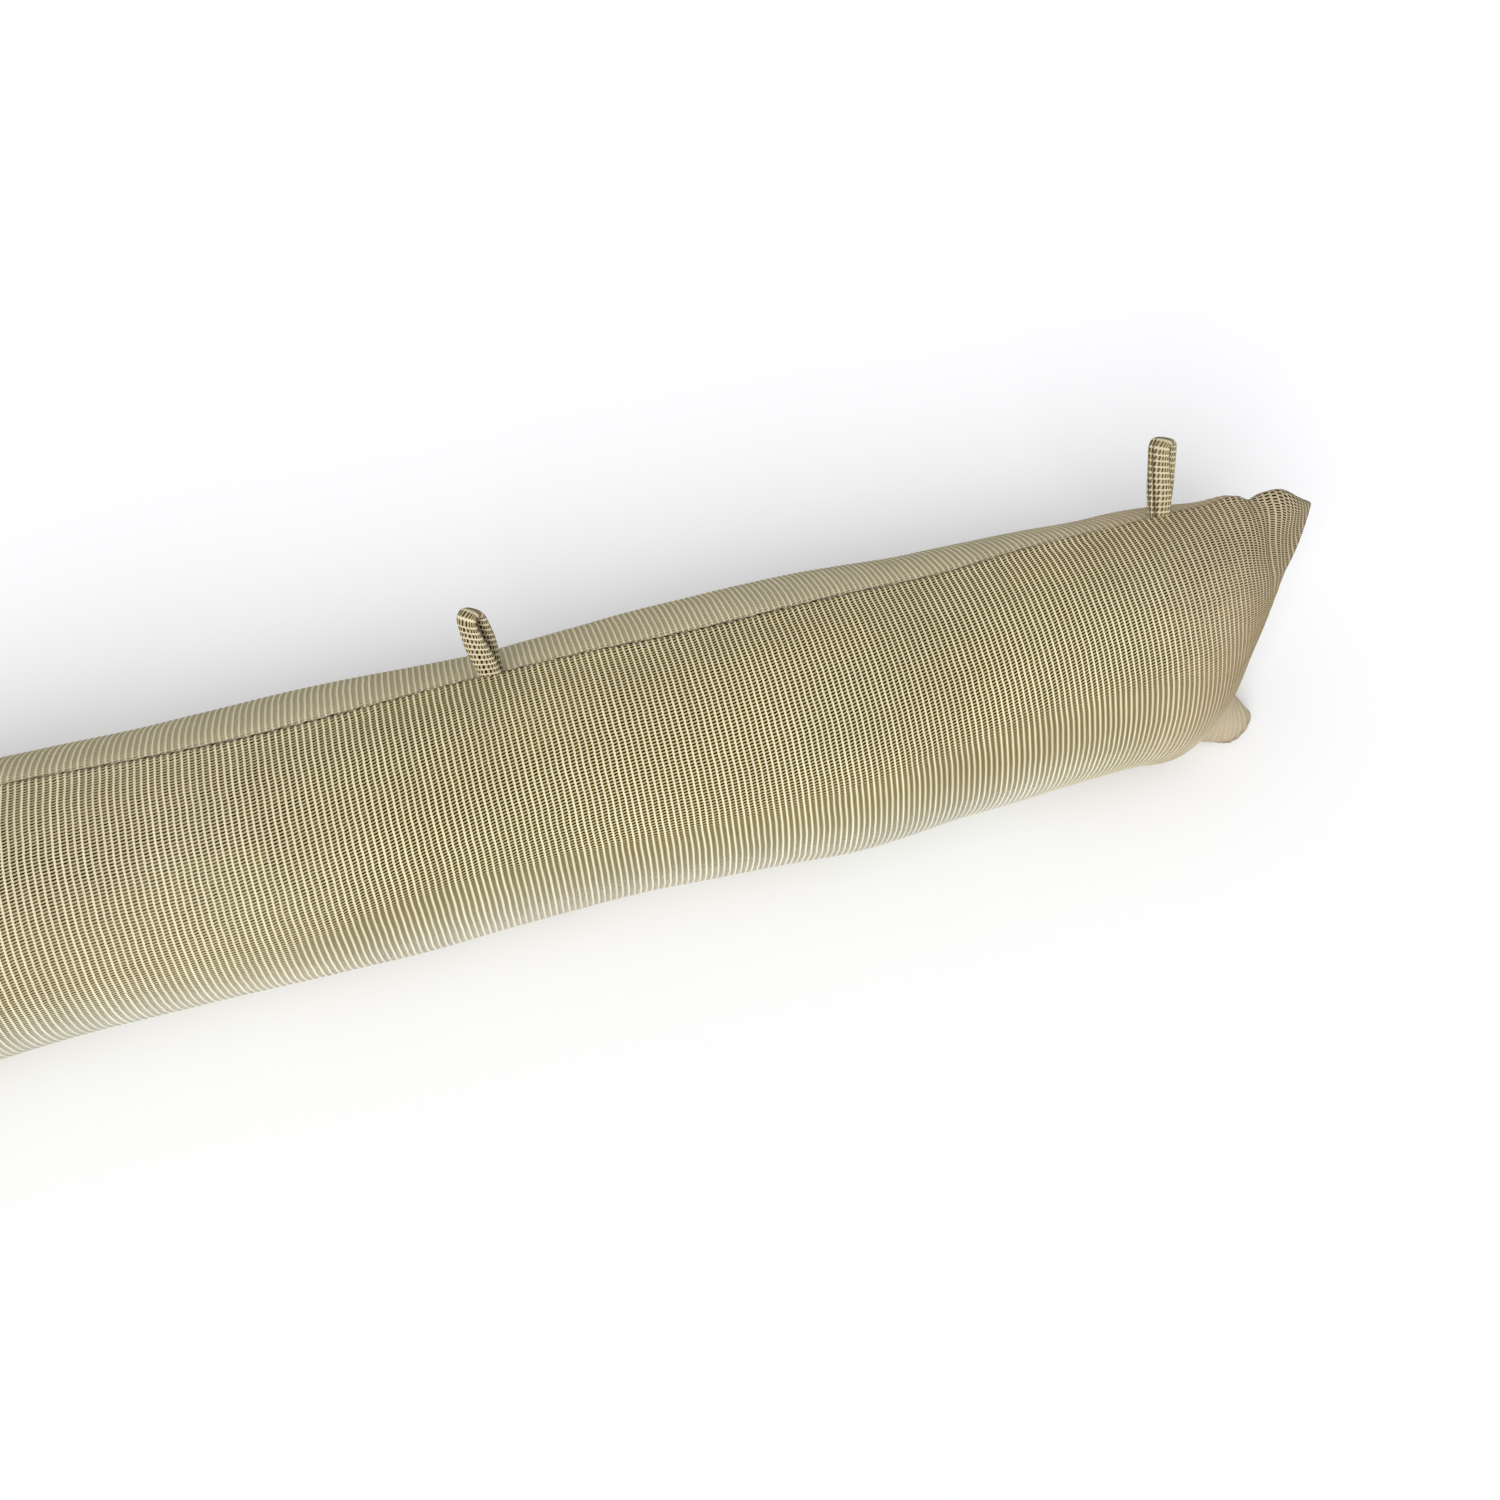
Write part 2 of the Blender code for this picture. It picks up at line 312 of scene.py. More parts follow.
def fillCover(panel, look):  # settles the cloth on its fill, from the lengths that it was cut to
    bpy.ops.mesh.primitive_plane_add(size=3.0, location=(0.0, 0.0, -2.0 * look["apart"]))
    surface = bpy.context.object
    surface.modifiers.new("Stop", "COLLISION")
    surface.collision.thickness_outer = look["apart"]
    surface.collision.cloth_friction = look["friction"]
    fill = panel.modifiers.new("Fill", "CLOTH")
    fill.settings.rest_shape_key = panel.data.shape_keys.key_blocks["flat"]
    for key, value in look["cloth"].items():
        setattr(fill.settings, key, value)
    fill.settings.effector_weights.gravity = look["weight"]
    fill.collision_settings.distance_min = look["apart"]
    fill.collision_settings.collision_quality = 3
    fill.point_cache.frame_end = look["frames"]
    scene = bpy.context.scene
    for step in range(look["frames"]):
        scene.frame_set(step + 1)
    pick(panel)
    bpy.ops.object.convert(target="MESH")
    scene.frame_set(1)
    bpy.data.objects.remove(surface)


def gridOf(panel, look):  # the settled points as rows along the cloth
    along, around = look["cellsAlong"], look["cellsRound"]
    points = np.array([v.co for v in panel.data.vertices])
    uv, owner = uvCorners(panel.data)
    row = np.rint(uv[:, 0] * along).astype(int)
    spot = np.rint(uv[:, 1] * around).astype(int) % around
    rows = np.zeros((along + 1, around, 3))
    rows[row, spot] = points[owner]
    return rows


def unevenFill(rows, look):  # centres the settled form, and gives it its girths and plump ends
    rows = rows.copy()
    body = rows[len(rows) // 4:-len(rows) // 4, :, 1]
    rows[..., 1] -= (body.min(axis=1) + body.max(axis=1)).mean() / 2.0
    rows[..., 2] -= rows[..., 2].min()
    girth = smoothRows(look["form"], 1, rows[..., 0])
    rows[..., 1] = rows[..., 1] * girth + smoothRows(look["form"], 2, rows[..., 0])
    rows[..., 2] *= girth
    place = np.linspace(-0.5, 0.5, len(rows)) * look["cutLength"]
    nearEnd = smoothStep(1.0 - (look["cutLength"] / 2.0 - np.abs(place)) / look["notchFillReach"])
    turn = np.arange(rows.shape[1]) / rows.shape[1]
    plump = (np.sign(place) * nearEnd)[:, None] * np.sin(2.0 * math.pi * turn) ** 2
    rows[..., 0] += look["notchFill"] * plump
    return rows


def formPlaces(look):  # where on the filled form each fine row of the cloth lies
    half = look["cutLength"] / 2.0
    onForm = np.linspace(-half, half, look["slideSteps"] + 1)
    onCloth = onForm + smoothRows(look["slide"], 1, onForm)
    wanted = np.linspace(-half, half, look["ribs"] * look["stepsPerRib"] + 1)
    return np.interp(wanted, onCloth, onForm)


def fineGrid(rows, look):  # the same cloth with a row of points for each quarter of a rib
    longer = np.concatenate([2 * rows[:1] - rows[1:2], rows, 2 * rows[-1:] - rows[-2:-1]])
    rows = splineRows(longer, (formPlaces(look) / look["cutLength"] + 0.5) * look["cellsAlong"])
    width, seamRows = look["cutWidth"], look["seamRows"]
    rest = np.linspace(seamRows[-1], width, look["panelRows"] + 1)[1:]
    fromSeam = np.concatenate([seamRows, rest])
    shares = np.concatenate([fromSeam / width, 2.0 - fromSeam[-2:0:-1] / width]) / 2.0
    turned = np.swapaxes(rows, 0, 1)
    turned = np.concatenate([turned[-1:], turned, turned[:3]])
    fine = splineRows(turned, shares * look["cellsRound"])
    return np.swapaxes(fine, 0, 1), shares


def outward(points):  # unit normals of the grid, from its neighbours
    along = np.gradient(points, axis=0)
    around = np.roll(points, -1, axis=1) - np.roll(points, 1, axis=1)
    out = np.cross(around, along)
    out /= np.maximum(np.linalg.norm(out, axis=2, keepdims=True), 1e-9)
    fromMiddle = points - points.mean(axis=1, keepdims=True)
    return -out if (out * fromMiddle).sum() < 0.0 else out


def ribRelief(place, fromEnd, shares, look):
    across = foldOver(shares)[0]
    near = np.maximum(1.0 - fromEnd / look["earTurnReach"], 0.0)
    askew = look["earTurn"] * near ** look["earTurnPower"]
    turned = 1.0 - look["earTurnBelow"] - np.minimum(across / look["earTurnAcross"], 1.0)
    shift = look["ribShift"] * smoothStep(shares * 2.0 - 1.0) + np.sign(place) * askew * turned
    count = np.arange(len(place))[:, None] / look["stepsPerRib"]
    ribs = 0.5 + 0.5 * np.cos(2.0 * np.pi * (count + shift))
    ends, over = look["earPlainAcross"]
    ribs *= 1.0 - smoothStep(askew / look["earPlain"]) * smoothStep((ends - across) / over)
    return look["ribHeight"] * ribs * smoothStep(fromEnd / look["ribsStart"])


def seamRelief(place, fromEnd, shares, look):  # the groove, and the front panel's lip over it
    across, side = foldOver(shares)
    fromSeam = side * across * look["cutWidth"]
    least, more = look["seamPull"]
    turn, waves = look["seamPullDrift"]
    stitch = place * 2.0 * np.pi / look["seamPullPitch"] + turn * np.sin(place * waves)
    pull = least + more * np.sin(stitch)
    groove = np.exp(-np.abs(fromSeam) / look["seamWidth"]) * pull
    lip = np.exp(-(((fromSeam - look["lipPlace"]) / look["lipPlace"] * look["lipSharpness"]) ** 2))
    full = smoothStep(fromEnd / look["seamStart"])
    return (look["lipHeight"] * lip - look["seamDepth"] * groove) * full


def endRelief(fromEnd, shares, look):  # lobes and folds beside the end seams
    across, panel = foldOver(shares)
    relief = np.zeros((len(fromEnd), len(shares)))
    for end, spot, endSize, acrossSize, height in look["lobes"]:
        off = ((fromEnd - end) / endSize) ** 2 + ((across - spot) / acrossSize) ** 2
        relief += height * np.exp(-off)
    starts, runsOut = look["foldEase"]
    for side, start, end, reach, width, depth in look["folds"]:
        middle = start + (end - start) * np.clip(across / reach, 0.0, 1.0)
        fade = smoothStep(across / starts) * smoothStep((reach - across) / reach * runsOut)
        relief -= depth * fade * (panel == side) * np.exp(-(((fromEnd - middle) / width) ** 2))
    return relief * np.sqrt(1.0 - np.exp(-fromEnd / look["lobeStart"]))


def clothMesh(points, shares):  # joins the rows into one closed mesh with its UV map
    along, around = points.shape[:2]
    number = np.arange(along * around).reshape(along, around)
    fold = around // 2
    for end in (0, along - 1):  # both layers share their points in the end seam
        number[end, fold + 1:] = number[end, fold - 1:0:-1]
    used, packed = np.unique(number, return_inverse=True)
    packed = packed.reshape(along, around).tolist()
    edges = [*shares, 1.0]
    faces, uvs = [], []
    for i in range(along - 1):
        for j in range(around):
            k = (j + 1) % around
            ring = {}  # an end seam's corners are kept once
            for a, b, v in ((i, j, j), (i + 1, j, j), (i + 1, k, j + 1), (i, k, j + 1)):
                ring.setdefault(packed[a][b], (a / (along - 1), edges[v]))
            faces.append(list(ring))
            uvs.extend(ring.values())
    mesh = bpy.data.meshes.new("cover")
    mesh.from_pydata(points.reshape(-1, 3)[used].tolist(), [], faces)
    layer = mesh.uv_layers.new(name="weave")
    layer.data.foreach_set("uv", np.array(uvs, np.float32).ravel())
    mesh.shade_smooth()
    return mesh


def makeCover(look, material):
    panel = sewnPanel(look)
    fillCover(panel, look)
    rows = unevenFill(gridOf(panel, look), look)
    bpy.data.objects.remove(panel)
    size = np.ptp(rows.reshape(-1, 3), axis=0)
    print("cover filled:", [round(float(x) * 1000) for x in size], "mm")
    points, shares = fineGrid(rows, look)
    out = outward(points)
    lumps = np.zeros(points.shape[:2])
    for lump, height, seed in look["lumps"]:
        lumps += height * softNoise(points.reshape(-1, 3), lump, seed).reshape(lumps.shape)
    lumps *= smoothStep(points[..., 2] / look["lumpsFrom"])
    place = formPlaces(look)[:, None]
    fromEnd = look["cutLength"] / 2.0 - np.abs(place)
    relief = endRelief(fromEnd, shares, look) + lumps
    relief += ribRelief(place, fromEnd, shares, look) + seamRelief(place, fromEnd, shares, look)
    fine = points + out * relief[..., None]
    fine[..., 2] = np.maximum(fine[..., 2], 0.0)
    piece = bpy.data.objects.new("cover_filled", clothMesh(fine, shares))
    bpy.context.scene.collection.objects.link(piece)
    piece.data.materials.append(material)
    turnOutward(piece)
    print("cover cloth:", len(piece.data.polygons), "faces")
    return piece, fine, out


# The strap loops
strap = {
    "width": 0.0102,
    "thick": 0.0032,  # two folded layers
    "gap": 0.0032,  # between the legs at the top
    "footGap": 0.0002,
    "bulge": 0.0008,  # its legs bow out between foot and top
    "squareness": 2.5,  # of its section: 2 is an oval
    "girth": 0.9,  # round its section, beside the box round it
    "sides": 24,
    "legSteps": 59,
    "archSteps": 40,
    "stepsPerRib": 4,
    "flatFaces": 4.0,  # how much of its section carries the ribs' full relief
    "wider": 0.07,  # in the middle of its height
    "uneven": (0.04, 230.0),  # its width: share, and turn for each metre of height
    "ribPitch": 0.00281,
    "rungPitch": 0.00120,
    "ribHeight": 0.00028,
    "sunk": 0.0008,  # its foot in the seam
    "beside": 0.006,  # the seam's run is taken between spots so far from the foot
    # Node, place along the cloth, height, twist at the foot and at the top, lean along the seam, wear
    "loops": (
        ("loop_left", -0.3275, 0.0360, -8.0, -34.0, 3.0, 0.15),
        ("loop_middle", 0.0022, 0.0358, -14.0, -50.0, -4.0, 0.12),
        ("loop_right", 0.3275, 0.0400, -22.0, -55.0, 1.5, 0.27),
    ),
}


def hairpin(height, look):  # (away, height) up the front leg, over the top and down the back leg
    top = (look["gap"] + look["thick"]) / 2.0
    foot = (look["footGap"] + look["thick"]) / 2.0
    shoulder = height - top - look["thick"] / 2.0
    heights = np.linspace(0.0, shoulder, look["legSteps"] + 1)
    share = heights / shoulder
    away = foot + (top - foot) * smoothStep(share) + look["bulge"] * np.sin(np.pi * share)
    leg = np.stack([away, heights], axis=1)
    turn = np.linspace(0.0, np.pi, look["archSteps"] + 1)[1:-1]
    arch = np.stack([top * np.cos(turn), shoulder + top * np.sin(turn)], axis=1)
    line = np.concatenate([leg, arch, leg[::-1] * (-1.0, 1.0)])
    run = np.concatenate([[0.0], np.cumsum(np.linalg.norm(np.diff(line, axis=0), axis=1))])
    ribs = round(run[-1] / look["ribPitch"])
    places = np.linspace(0.0, run[-1], ribs * look["stepsPerRib"] + 1)
    line = np.stack([np.interp(places, run, line[:, axis]) for axis in (0, 1)], axis=1)
    return line, run[-1], ribs


def seamSpot(place, lean, look, coverPoints, coverOut):  # a strap's foot, and the ways round it
    at = int(np.argmin(np.abs(formPlaces(cover) - place)))
    beside = int(round(look["beside"] / cover["cutLength"] * len(coverPoints)))
    along = Vector(coverPoints[at + beside, 0] - coverPoints[at - beside, 0]).normalized()
    out = Vector(coverOut[at, 0])
    out = (out - along * out.dot(along)).normalized()
    out = (Matrix.Rotation(math.radians(lean), 3, out.cross(along)) @ out).normalized()
    front = along.cross(out).normalized()
    return Vector(coverPoints[at, 0]), along, out, -front if front.y > 0.0 else front


def squaredUp(value, look):  # a sine or cosine for the strap's section
    return math.copysign(abs(value) ** (2.0 / look["squareness"]), value)


def makeLoop(name, place, height, footTwist, topTwist, lean, toneShift, look, coverPoints, coverOut):
    foot, along, out, front = seamSpot(place, lean, look, coverPoints, coverOut)
    line, length, ribs = hairpin(height, look)
    slope = np.gradient(line, axis=0)
    slope /= np.linalg.norm(slope, axis=1, keepdims=True)
    cells = {"x_subdivisions": len(line) - 1, "y_subdivisions": look["sides"]}
    bpy.ops.mesh.primitive_grid_add(size=1.0, **cells)
    piece = bpy.context.object
    piece.name = name + "_strap"
    uneven, turns = look["uneven"]
    points = []
    for v in piece.data.vertices:
        spot = int(round((v.co.x + 0.5) * (len(line) - 1)))
        (away, up), (runAway, runUp) = line[spot], slope[spot]
        angle = (v.co.y + 0.5) * 2.0 * math.pi
        wide = squaredUp(math.cos(angle), look) * look["width"] / 2.0
        wider = look["wider"] * math.sin(math.pi * up / height)
        wide *= 1.0 - uneven * math.sin(up * turns + topTwist) + wider
        deep = squaredUp(math.sin(angle), look) * look["thick"] / 2.0
        onFace = max(-1.0, min(1.0, look["flatFaces"] * math.sin(angle)))
        ribTurn = 2.0 * math.pi * spot / look["stepsPerRib"]
        deep += 0.5 * look["ribHeight"] * math.cos(ribTurn) * onFace
        twist = footTwist + (topTwist - footTwist) * float(smoothStep(up / height))
        turn = Matrix.Rotation(math.radians(twist), 3, out)
        through = front * runUp - out * runAway
        beside = turn @ (front * away + through * deep + along * wide)
        points.append(foot + beside + out * (up - look["sunk"]))
    setPoints(piece.data.vertices, points)
    joinEdges(piece, capped=True)
    piece.data.shade_smooth()
    piece.data.uv_layers.active.name = "weave"
    rungs = round(2.0 * (look["width"] + look["thick"]) * look["girth"] / look["rungPitch"])
    piece.data.materials.append(strapWeave(name + "_weave", weave, ribs, rungs, toneShift))
    return piece, length


# The ribbed cloth of the cover and the loops. Its threads are counted in ribs along it and in rungs
# across it, and each spread is how much a value differs between spots.
weave = {
    "cream": (0.640, 0.580, 0.415),
    "sand": (0.366, 0.302, 0.132),
    # painted bounce light from the floor: paler sand on the lower front
    "bellyBounceSand": (0.520, 0.478, 0.335),
    "strapSand": (0.380, 0.318, 0.180),
    "paleSand": (0.430, 0.374, 0.243),  # where the cloth turns under, painted paler as bounce light from the floor, and behind the seam
    "brown": (0.0015, 0.0008, 0.0001),
    "plain": (0.38, 0.32, 0.19),  # the cloth as one colour, for a viewport
    "warm": (1.015, 0.995, 0.975),  # its hue drifts between these
    "cool": (0.985, 1.0, 1.0),
    "creamShare": (0.64, 0.82),  # of a rib's wave, where cream starts and is full
    "rungShare": (0.41, 0.60),
    "skew": 0.11,  # rungs for each rib: the rungs cross the ribs at a little less than a right angle
    "zigzag": 0.015,  # of a rib: each thread crosses it at a slant
    "slant": 0.29,  # of a rung, across a rib
    "slantSpread": 0.8,
    "swaySpread": 0.35,  # of a rib: the ribs wander
    "driftSpread": 0.8,  # of a rung: so do the rungs
    "stepSpread": 0.16,  # of a rung: each rib's rungs are out of step with the next one's
    "fuzzSpread": 0.24,  # of a wave: the threads' edges
    "pinch": 0.12,  # of a wave: the rungs pinch the cream ribs
    "scallop": 0.12,  # and darken them
    "ribTone": 0.12,  # spreads of tone: from rib to rib, from rung to rung, in patches and in the yarn
    "rungTone": 0.22,
    "patchTone": 0.30,
    "yarnTone": 0.30,
    "rungDepth": 1.05,  # how dark the rungs are in the mean
    "creamWear": 0.6,  # how much a strap's wear darkens its cream
    "swayScale": 0.11,  # noise scales, for one rib or rung
    "driftScale": 0.02,
    "slantScale": 0.9,
    "slantRun": 0.2,  # its share of a rung's scale
    "yarnScale": 2.0,
    "yarnRun": (3.0, 1.2),  # its shares of a rib's and a rung's
    "patchScale": 0.035,
    "hueScale": 0.022,
    "wornScale": 0.011,
    "finer": 3.0,  # detail of the noise in the yarn and the patches
    "hueShare": (0.35, 0.65),  # of that noise, where the cloth is warm and cool
    "stepSeed": 3.0,
    "toneSeed": 8.0,
    "roughness": 0.9,
    "specular": 0.05,
    "bump": 0.00022,
    "bumpStrength": 0.8,
    "bumpParts": {"rung": -0.6, "yarn": 0.7, "cream": 0.2, "scallop": 0.35},
}

# Where the cover's cloth is worn, and where it is painted paler with bounce light from the floor or
# darker with painted shade, and by how much. Shares along it are from its left end (0) to its right end
# (1) or out from its middle (0 to 0.5). Shares round it run from the long seam (0) down the front to
#     the fold (0.5) and up the back (1).
coverWearAndPaintedLight = {
    "under": (0.26, 0.42),  # round: the lower front, painted paler as bounce light from the floor, with fainter rungs
    "nearEnd": (0.34, 0.46),  # from the middle: the ends, where the cream is darkened as painted shade
    "lowEnd": (0.04, 0.22, 0.15, 1.0),  # round, and how strong
    "leftwards": (0.46, 0.31),  # along
    "bellyFront": (0.235, 0.36),  # round: the lower front, painted paler and bluer as bounce light from the floor
    "bellyBack": (0.50, 0.60),
    "bellyLength": (0.28, 0.37, 1.0, 0.25),  # from the middle, and how strong
    "topCorner": (0.22, 0.08),  # round: the top ear by the seam, darkened as painted shade
    "topCornerLength": (0.43, 0.48),  # from the middle
    "underFade": 0.56,  # how much paler the rungs are there, as part of that painted bounce light
    "lowEndFade": 0.35,
    "wornFade": (0.50, 0.72, 1.0, 0.79),  # of the cloudy wear, and what it leaves of the rungs
    "wornLeft": 0.20,  # more of that wear towards the left
    "paleLeft": 0.45,  # how much of the sand is pale there and near the ends
    "paleEnd": 0.6,
    "creamEndShade": 0.22,  # how much darker cream and corner are; at the ends and on the top ear this is painted shade
    "creamUnder": 0.02,
    "cornerShade": 0.12,
    # painted bounce light from the floor, brightening and cooling the lower front
    "bellyBounceLight": (1.18, 1.23, 1.42),
    "endShadeTint": (0.98, 0.91, 0.90),
    "seamShadeDots": (0.0004, 0.0011),  # from the seam, where its dark line fades: painted shade in the groove, with darker dots at the stitches
}


class Nodes:  # adds nodes to a new material and links what it is given
    def __init__(self, name):
        self.material = bpy.data.materials.new(name)
        self.material.use_nodes = True
        self.tree = self.material.node_tree
        self.shader = self.tree.nodes["Principled BSDF"]

    def put(self, socket, value):
        if isinstance(value, bpy.types.NodeSocket):
            self.tree.links.new(value, socket)
        else:  # a colour has three values in the dictionaries
            socket.default_value = (*value, 1.0) if socket.type == "RGBA" else value

    def add(self, kind, inputs, out=0, **settings):
        made = self.tree.nodes.new(kind)
        for key, value in settings.items():
            setattr(made, key, value)
        for key, value in inputs.items():
            self.put(made.inputs[key], value)
        return made.outputs[out]

    def math(self, operation, a, b=0.0, c=0.0):
        return self.add("ShaderNodeMath", {0: a, 1: b, 2: c}, operation=operation)

    def plus(self, total, *others):
        for other in others:
            total = self.math("ADD", total, other)
        return total

    def times(self, product, *others):
        for other in others:
            product = self.math("MULTIPLY", product, other)
        return product

    def minus(self, a, b):
        return self.math("SUBTRACT", a, b)

    def spread(self, value, size, middle=0.0):  # a value from 0 to 1, spread round the middle one
        return self.math("MULTIPLY_ADD", value, size, middle - size / 2.0)

    def fade(self, share, amount):  # 1 where the share is 0, and less by the amount where it is 1
        return self.math("MULTIPLY_ADD", share, -amount, 1.0)

    def wave(self, value):  # 1 at each whole number, 0 halfway
        cosine = self.math("COSINE", self.times(value, 2.0 * math.pi))
        return self.math("MULTIPLY_ADD", cosine, 0.5, 0.5)

    def span(self, value, low, high, toLow=0.0, toHigh=1.0):
        inputs = {"Value": value, "From Min": low, "From Max": high, "To Min": toLow, "To Max": toHigh}
        return self.add("ShaderNodeMapRange", inputs, interpolation_type="SMOOTHSTEP")

    def blend(self, share, a, b, kind="MIX"):  # inputs 6 and 7 and output 2 are the node's colours
        inputs = {"Factor": share, 6: a, 7: b}
        return self.add("ShaderNodeMix", inputs, out=2, data_type="RGBA", blend_type=kind)

    def tint(self, colour, *others):
        for other in others:
            colour = self.blend(1.0, colour, other, "MULTIPLY")
        return colour

    def grey(self, tone):
        return self.add("ShaderNodeCombineXYZ", {0: tone, 1: tone, 2: tone})

    def random(self, x, y):
        spot = self.add("ShaderNodeCombineXYZ", {0: x, 1: y, 2: 0.0})
        return self.add("ShaderNodeTexWhiteNoise", {"Vector": spot}, noise_dimensions="2D")

    def clouds(self, x, y, scale, detail=2.0):
        spot = self.add("ShaderNodeCombineXYZ", {0: x, 1: y, 2: 0.0})
        return self.add("ShaderNodeTexNoise", {"Vector": spot, "Scale": scale, "Detail": detail})

    def clothPlace(self):  # shares along and round the piece, from its own UV map
        uv = self.add("ShaderNodeUVMap", {}, uv_map="weave")
        split = self.add("ShaderNodeSeparateXYZ", {0: uv}).node
        return split.outputs[0], split.outputs[1]


def threadsAt(n, rib, rung, look):  # which thread of the cloth lies at a spot
    wander = n.times(n.clouds(rib, rung, look["driftScale"]), look["driftSpread"])
    drift = n.plus(wander, n.times(rib, look["skew"]))
    zigzag = n.times(n.math("SINE", n.times(n.plus(rung, drift), 2.0 * math.pi)), look["zigzag"])
    sway = n.spread(n.clouds(rib, rung, look["swayScale"]), look["swaySpread"])
    ribAt = n.plus(rib, zigzag, sway)
    band = n.math("FLOOR", ribAt)
    inBand = n.minus(n.math("FRACT", ribAt), 0.5)
    slant = n.clouds(band, n.times(rung, look["slantRun"]), look["slantScale"])
    slant = n.spread(slant, look["slantSpread"], look["slant"])
    ownStep = n.spread(n.random(band, look["stepSeed"]), look["stepSpread"])
    rungAt = n.plus(rung, ownStep, n.times(inBand, slant), drift)
    ribWave, rungWave = n.wave(ribAt), n.wave(rungAt)
    ribRun, rungRun = look["yarnRun"]
    yarn = n.clouds(n.times(rib, ribRun), n.times(rung, rungRun), look["yarnScale"], look["finer"])
    fuzz = n.spread(yarn, look["fuzzSpread"])
    pinched = n.spread(rungWave, -look["pinch"])
    return {
        "rungWave": rungWave,
        "yarn": yarn,
        "isCream": n.span(n.plus(ribWave, fuzz, pinched), *look["creamShare"]),
        "isRung": n.span(n.plus(rungWave, fuzz), *look["rungShare"]),
        "eachRung": n.random(band, n.math("FLOOR", n.plus(rungAt, 0.5))),
        "eachRib": n.random(n.math("FLOOR", n.plus(ribAt, 0.5)), look["toneSeed"]),
    }


# the rung and cream levels carry wear, and on the cover also painted bounce light and painted shade
def threadColour(n, rib, rung, threads, sand, rungLevel, creamLevel, look):
    depth = n.times(n.spread(threads["eachRung"], look["rungTone"], look["rungDepth"]), rungLevel)
    ladder = n.blend(n.times(threads["isRung"], depth), sand, look["brown"])
    scallop = n.fade(threads["rungWave"], look["scallop"])
    creamTone = n.times(scallop, n.spread(threads["eachRib"], look["ribTone"], 1.0), creamLevel)
    colour = n.blend(threads["isCream"], ladder, n.tint(look["cream"], n.grey(creamTone)))
    cloudy = n.clouds(rib, rung, look["patchScale"], look["finer"])
    cloudy = n.spread(cloudy, look["patchTone"], 1.0)
    grain = n.spread(threads["yarn"], look["yarnTone"], 1.0)
    hue = n.span(n.clouds(rung, rib, look["hueScale"]), *look["hueShare"])
    hue = n.blend(hue, look["warm"], look["cool"])
    return n.tint(colour, hue, n.grey(n.times(cloudy, grain)))


def finishWeave(n, colour, threads, look):
    n.put(n.shader.inputs["Base Color"], colour)
    n.put(n.shader.inputs["Roughness"], look["roughness"])
    n.put(n.shader.inputs["Specular IOR Level"], look["specular"])
    parts = look["bumpParts"]
    sunk = n.times(threads["rungWave"], n.minus(1.0, threads["isCream"]), parts["rung"])
    raised = n.math("MULTIPLY_ADD", threads["rungWave"], parts["scallop"], parts["cream"])
    height = n.plus(sunk, n.times(threads["yarn"], parts["yarn"]), n.times(threads["isCream"], raised))
    inputs = {"Strength": look["bumpStrength"], "Distance": look["bump"], "Height": height}
    n.put(n.shader.inputs["Normal"], n.add("ShaderNodeBump", inputs))
    n.material.diffuse_color = (*look["plain"], 1.0)
    return n.material


def strapWeave(name, look, ribs, rungs, toneShift):
    n = Nodes(name)
    along, around = n.clothPlace()
    rib, rung = n.times(along, float(ribs)), n.times(around, float(rungs))
    threads = threadsAt(n, rib, rung, look)
    creamLevel = 1.0 - look["creamWear"] * toneShift
    colour = threadColour(n, rib, rung, threads, look["strapSand"], 1.0 - toneShift, creamLevel, look)
    return finishWeave(n, colour, threads, look)


def coverThreads(n, along, around, fromMiddle, fromSeam):  # ribs and rungs, askew on the upper ears
    rib = n.times(along, float(cover["ribs"]))
    rib = n.plus(rib, n.span(around, 0.5, 1.0, 0.0, cover["ribShift"]))
    reach = cover["earTurnReach"] / cover["cutLength"]
    near = n.math("MULTIPLY_ADD", n.math("ABSOLUTE", fromMiddle), 1.0 / reach, 1.0 - 0.5 / reach)
    askew = n.math("POWER", n.math("MAXIMUM", near, 0.0), cover["earTurnPower"])
    askew = n.times(askew, cover["earTurn"])
    across = n.math("DIVIDE", n.times(fromSeam, 2.0), cover["earTurnAcross"])
    turned = n.minus(1.0 - cover["earTurnBelow"], n.math("MINIMUM", across, 1.0))
    rib = n.plus(rib, n.times(n.math("SIGN", fromMiddle), askew, turned))
    rung = n.times(around, float(cover["rungs"]))
    return rib, n.minus(rung, n.times(askew, cover["earRungTurn"]))
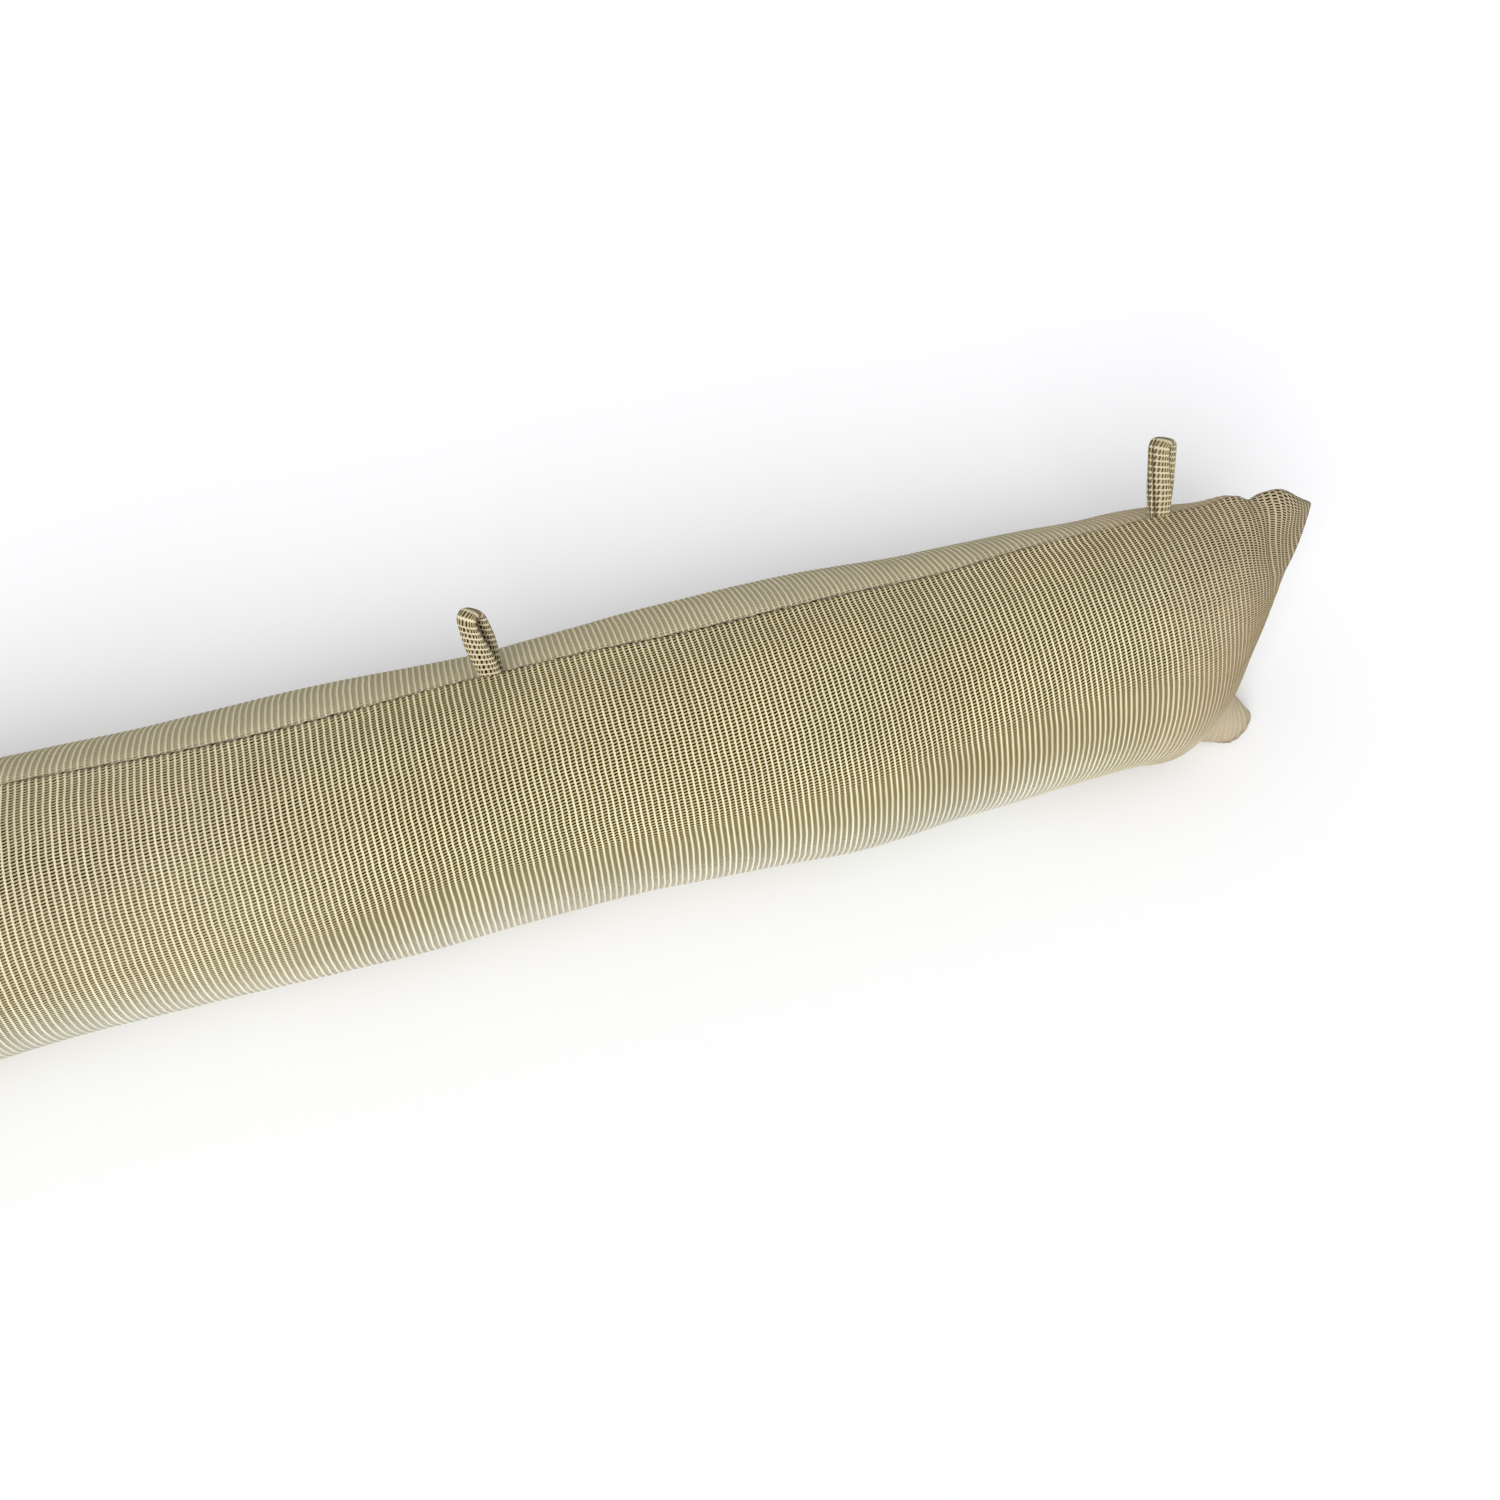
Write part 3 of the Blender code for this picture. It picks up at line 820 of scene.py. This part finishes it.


# the tone table holds the cover's wear and its painted bounce light and painted shade
def coverWeave(name, look, toneShift):
    n = Nodes(name)
    along, around = n.clothPlace()
    fromMiddle = n.minus(along, 0.5)
    fromSeam = n.math("MINIMUM", around, n.minus(1.0, around))
    rib, rung = coverThreads(n, along, around, fromMiddle, fromSeam)
    threads = threadsAt(n, rib, rung, look)

    endward = n.math("ABSOLUTE", fromMiddle)
    # the lower front: paler sand and fainter rungs painted as bounce light from the floor
    under = n.span(around, *toneShift["under"])
    nearEnd = n.span(endward, *toneShift["nearEnd"])
    lowEnd = n.times(nearEnd, n.span(around, *toneShift["lowEnd"]))
    leftwards = n.span(along, *toneShift["leftwards"])
    # the lower front, painted paler and bluer as bounce light from the floor
    bellyBounceLit = n.minus(n.span(around, *toneShift["bellyFront"]), n.span(around, *toneShift["bellyBack"]))
    bellyBounceLit = n.times(bellyBounceLit, n.span(endward, *toneShift["bellyLength"]))
    topCorner = n.times(n.span(around, *toneShift["topCorner"]), n.span(endward, *toneShift["topCornerLength"]))

    worn = n.plus(n.clouds(rib, rung, look["wornScale"]), n.times(leftwards, toneShift["wornLeft"]))
    rungLevel = n.times(n.fade(under, toneShift["underFade"]), n.fade(lowEnd, toneShift["lowEndFade"]))
    rungLevel = n.times(rungLevel, n.span(worn, *toneShift["wornFade"]))
    # the cream darker near the ends: painted shade
    creamLevel = n.times(n.fade(nearEnd, toneShift["creamEndShade"]), n.fade(under, toneShift["creamUnder"]))
    sand = n.blend(n.times(leftwards, toneShift["paleLeft"]), look["sand"], look["paleSand"])
    sand = n.blend(n.math("MAXIMUM", under, n.times(nearEnd, toneShift["paleEnd"])), sand, look["paleSand"])
    sand = n.blend(bellyBounceLit, sand, look["bellyBounceSand"])

    colour = threadColour(n, rib, rung, threads, sand, rungLevel, creamLevel, look)
    white = (1.0, 1.0, 1.0)
    colour = n.tint(colour, n.blend(bellyBounceLit, white, toneShift["bellyBounceLight"]))
    # painted shade near the ends
    colour = n.tint(colour, n.blend(nearEnd, white, toneShift["endShadeTint"]))
    # painted shade on the top ear
    colour = n.tint(colour, n.grey(n.fade(topCorner, toneShift["cornerShade"])))
    stitchShade = n.math("MULTIPLY_ADD", n.wave(n.times(rib, 0.5)), 0.5, 0.5)  # at every other rib: stitch dots in the painted seam shade
    bySeam = n.span(n.times(fromSeam, 2.0 * cover["cutWidth"]), *toneShift["seamShadeDots"], 1.0, 0.0)
    # a dark line of painted shade down the seam groove
    colour = n.blend(n.times(bySeam, stitchShade), colour, look["brown"])
    return finishWeave(n, colour, threads, look)


# The camera and the pale studio
view = {
    "azimuth": -17.28,
    "elevation": 55.0,
    "roll": 0.74,
    "place": (-0.0054, -0.3749, 0.5884),
    "lens": 34.74,
    "sensor": 36.0,
    "clipStart": 0.01,
}

studio = {
    "floor": (0.831, 0.836, 0.848),
    "floorSize": 8.0,
    "floorRoughness": 0.9,
    "floorSpecular": 0.05,
    "world": 0.74,
    "key": 2.8,
    "keyFrom": (-0.60, -1.0, 0.75),
    "keyAngle": 38.0,
}


def makeCamera(look):
    azimuth, elevation, roll = (math.radians(look[key]) for key in ("azimuth", "elevation", "roll"))
    back = Vector((
        math.sin(azimuth) * math.cos(elevation),
        -math.cos(azimuth) * math.cos(elevation),
        math.sin(elevation),
    ))
    right = Vector((math.cos(azimuth), math.sin(azimuth), 0.0))
    up = back.cross(right)
    rolledRight = right * math.cos(roll) + up * math.sin(roll)
    rolledUp = up * math.cos(roll) - right * math.sin(roll)
    data = bpy.data.cameras.new("camera")
    data.lens = look["lens"]
    data.sensor_width = look["sensor"]
    data.clip_start = look["clipStart"]
    camera = bpy.data.objects.new("camera", data)
    bpy.context.scene.collection.objects.link(camera)
    turn = Matrix((rolledRight, rolledUp, back)).transposed().to_4x4()
    camera.matrix_world = Matrix.Translation(look["place"]) @ turn
    bpy.context.scene.camera = camera


def makeStudio(look):
    bpy.ops.mesh.primitive_plane_add(size=look["floorSize"], location=(0.0, 0.0, 0.0))
    floor = bpy.context.object
    floor.name = "studio_floor"
    paper = Nodes("pale_floor")
    paper.put(paper.shader.inputs["Base Color"], look["floor"])
    paper.put(paper.shader.inputs["Roughness"], look["floorRoughness"])
    paper.put(paper.shader.inputs["Specular IOR Level"], look["floorSpecular"])
    floor.data.materials.append(paper.material)
    world = bpy.data.worlds.new("soft_white")
    world.use_nodes = True
    world.node_tree.nodes["Background"].inputs["Color"].default_value = (1.0, 1.0, 1.0, 1.0)
    world.node_tree.nodes["Background"].inputs["Strength"].default_value = look["world"]
    bpy.context.scene.world = world
    data = bpy.data.lights.new("key", "SUN")
    data.energy = look["key"]
    data.angle = math.radians(look["keyAngle"])
    key = bpy.data.objects.new("key", data)
    bpy.context.scene.collection.objects.link(key)
    key.rotation_euler = (-Vector(look["keyFrom"])).to_track_quat("-Z", "Y").to_euler()
    bpy.context.scene.view_settings.view_transform = "Standard"


makeCamera(view)
makeStudio(studio)
print("camera and studio ready")

filled, coverPoints, coverOut = makeCover(cover, coverWeave("cover_weave", weave, coverWearAndPaintedLight))
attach(filled, "root")
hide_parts("cover")

for name, *measures in strap["loops"]:
    loop, length = makeLoop(name, *measures, strap, coverPoints, coverOut)
    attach(loop, "root")
    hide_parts(name)
    print(name, "strap:", round(length * 1000, 1), "mm long")
